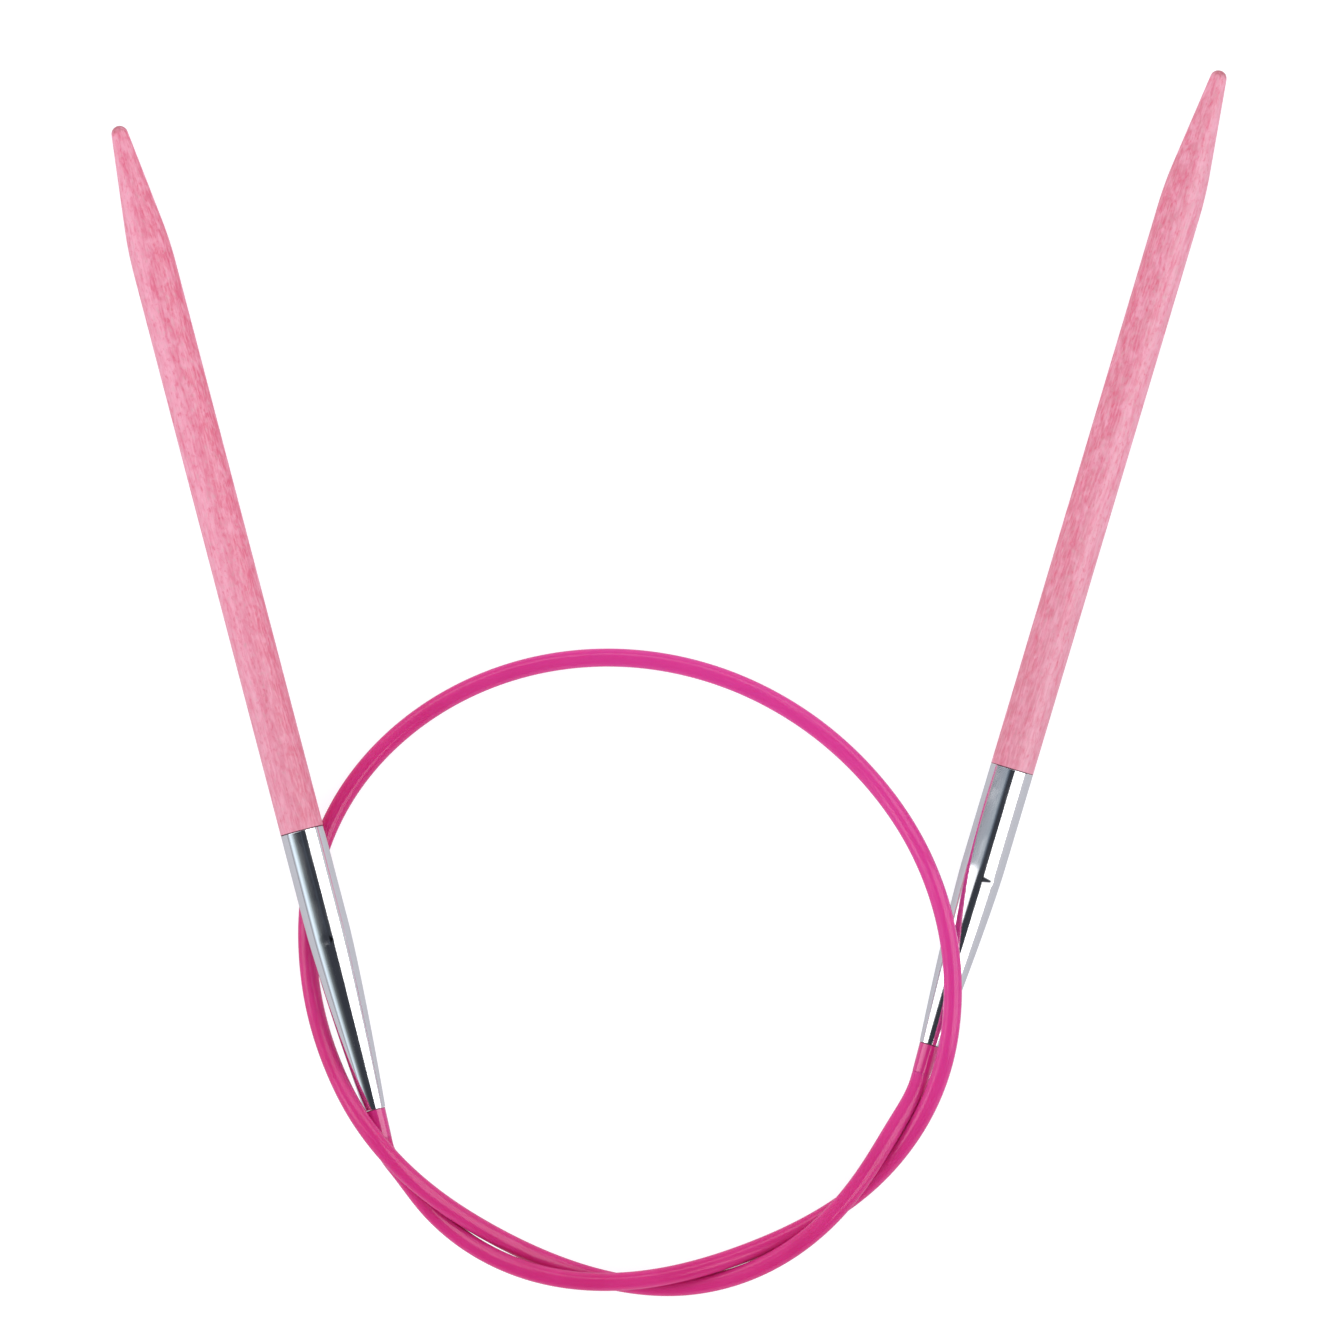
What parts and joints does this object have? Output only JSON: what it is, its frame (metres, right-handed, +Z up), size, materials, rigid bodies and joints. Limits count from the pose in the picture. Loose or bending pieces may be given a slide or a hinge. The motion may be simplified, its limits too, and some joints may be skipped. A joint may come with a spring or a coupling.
{
  "type": "circular knitting needle",
  "caption": "Fixed circular knitting needle: wooden points in tapered metal ferrules that swivel on the ends of one looped nylon cord.",
  "frame": {"origin": "on the table, midway between the needles' outer sides in X and between their ends in Y, the cord left out", "axes": "+Z up from the table, +Y from the cord's loop towards the wooden tips, +X towards the right needle"},
  "size_m": [0.1406, 0.1545, 0.0105],
  "materials": {
    "pink_wood": "pink-dyed laminated birch under satin lacquer",
    "bright_metal": "polished nickel plate",
    "pin_metal": "turned steel",
    "cord_nylon": "translucent glossy nylon",
    "collar_nylon": "translucent satin nylon"
  },
  "bodies": {
    "cord_loop": {"cord": "cord_nylon"},
    "left_collar": {"left_cord_collar": "collar_nylon", "left_swivel_pin": "pin_metal"},
    "left_needle": {"left_ferrule": "bright_metal", "left_wood_point": "pink_wood"},
    "right_collar": {"right_cord_collar": "collar_nylon", "right_swivel_pin": "pin_metal"},
    "right_needle": {"right_ferrule": "bright_metal", "right_wood_point": "pink_wood"}
  },
  "joints": [
    {"name": "left_cord_bend", "type": "hinge", "parent": "cord_loop", "child": "left_collar", "pos_m": [-0.03593, -0.06728, 0.00677], "axis": [0, 0, 1], "range_deg": [-10, 2]},
    {"name": "left_needle_swivel", "type": "hinge", "parent": "left_collar", "child": "left_needle", "pos_m": [-0.03692, -0.06351, 0.00663], "axis": [-0.2544, 0.9665, -0.0346], "range_deg": [-180, 180]},
    {"name": "right_cord_bend", "type": "hinge", "parent": "cord_loop", "child": "right_collar", "pos_m": [0.03179, -0.05923, 0.00274], "axis": [0, 0, 1], "range_deg": [-8, 8]},
    {"name": "right_needle_swivel", "type": "hinge", "parent": "right_collar", "child": "right_needle", "pos_m": [0.03291, -0.05549, 0.00274], "axis": [0.2862, 0.9582, 0], "range_deg": [-180, 180]}
  ]
}
